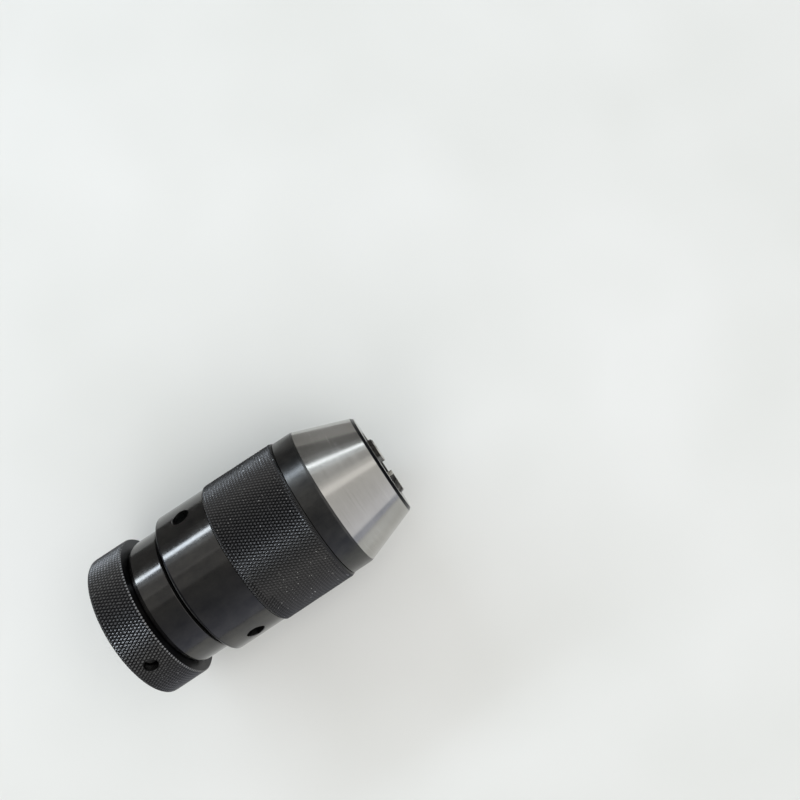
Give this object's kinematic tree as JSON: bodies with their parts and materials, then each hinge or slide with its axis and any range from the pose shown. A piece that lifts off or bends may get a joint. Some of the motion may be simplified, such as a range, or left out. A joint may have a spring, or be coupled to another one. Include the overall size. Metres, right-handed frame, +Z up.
{
  "type": "drill chuck",
  "caption": "Keyless drill chuck with knurled sleeve and ring, ground nose cone, T-section jaws, drive screw, ball thrust bearing and taper socket, lying on its side.",
  "frame": {"origin": "on the table, under the middle of the chuck's overall length", "axes": "+X along the chuck's axis towards the nose and jaws, +Z up; the chuck lies on its knurled sleeve"},
  "size_m": [0.108, 0.057, 0.057],
  "materials": {
    "black_oxide": "black oxide, glossy",
    "knurled_black": "black oxide, diamond knurl",
    "ground_steel": "ground",
    "jaw_steel": "hardened and ground",
    "plain_steel": "machined",
    "bearing_steel": "polished",
    "cage_brass": "machined",
    "seal_felt": "oiled felt"
  },
  "bodies": {
    "arbor_unit": {"body": "plain_steel", "neck": "black_oxide", "rear_ring": "knurled_black", "ring_pin": "plain_steel", "front_race": "bearing_steel", "dust_seal": "seal_felt"},
    "sleeve_unit": {"collar": "black_oxide", "sleeve": "knurled_black", "hood": "ground_steel", "rear_race": "bearing_steel", "guide_segment_1": "black_oxide", "guide_segment_2": "black_oxide", "guide_segment_3": "black_oxide", "guide_key_1": "plain_steel", "guide_key_2": "plain_steel", "guide_key_3": "plain_steel"},
    "ball_set": {"ball_cage": "cage_brass", "ball_01": "bearing_steel", "ball_02": "bearing_steel", "ball_03": "bearing_steel", "ball_04": "bearing_steel", "ball_05": "bearing_steel", "ball_06": "bearing_steel", "ball_07": "bearing_steel", "ball_08": "bearing_steel", "ball_09": "bearing_steel", "ball_10": "bearing_steel", "ball_11": "bearing_steel", "ball_12": "bearing_steel", "ball_13": "bearing_steel", "ball_14": "bearing_steel", "ball_15": "bearing_steel", "ball_16": "bearing_steel"},
    "screw": {"drive_screw": "plain_steel"},
    "jaw_a": {"jaw_1": "jaw_steel"},
    "jaw_b": {"jaw_2": "jaw_steel"},
    "jaw_c": {"jaw_3": "jaw_steel"}
  },
  "joints": [
    {"name": "sleeve_turn", "type": "hinge", "parent": "arbor_unit", "child": "sleeve_unit", "pos_m": [0, 0, 0.0285], "axis": [1, 0, 0], "range_deg": [-571, 617]},
    {"name": "ball_turn", "type": "hinge", "parent": "arbor_unit", "child": "ball_set", "pos_m": [0, 0, 0.0285], "axis": [1, 0, 0], "range_deg": [-287, 310]},
    {"name": "screw_feed", "type": "slide", "parent": "sleeve_unit", "child": "screw", "axis": [1, 0, 0], "range_m": [-0.00859, 0.00795]},
    {"name": "jaw_1_slide", "type": "slide", "parent": "sleeve_unit", "child": "jaw_a", "axis": [0.9063, 0.4226, 0], "range_m": [-0.00948, 0.00877]},
    {"name": "jaw_2_slide", "type": "slide", "parent": "sleeve_unit", "child": "jaw_b", "axis": [0.9063, -0.2113, -0.366], "range_m": [-0.00948, 0.00877]},
    {"name": "jaw_3_slide", "type": "slide", "parent": "sleeve_unit", "child": "jaw_c", "axis": [0.9063, -0.2113, 0.366], "range_m": [-0.00948, 0.00877]}
  ],
  "couplings": [
    {"joint": "ball_turn", "follows": "sleeve_turn", "ratio": 0.5},
    {"joint": "screw_feed", "follows": "sleeve_turn", "m_per_rad": -0.00079577},
    {"joint": "jaw_1_slide", "follows": "sleeve_turn", "m_per_rad": -0.00087804},
    {"joint": "jaw_2_slide", "follows": "sleeve_turn", "m_per_rad": -0.00087804},
    {"joint": "jaw_3_slide", "follows": "sleeve_turn", "m_per_rad": -0.00087804}
  ]
}
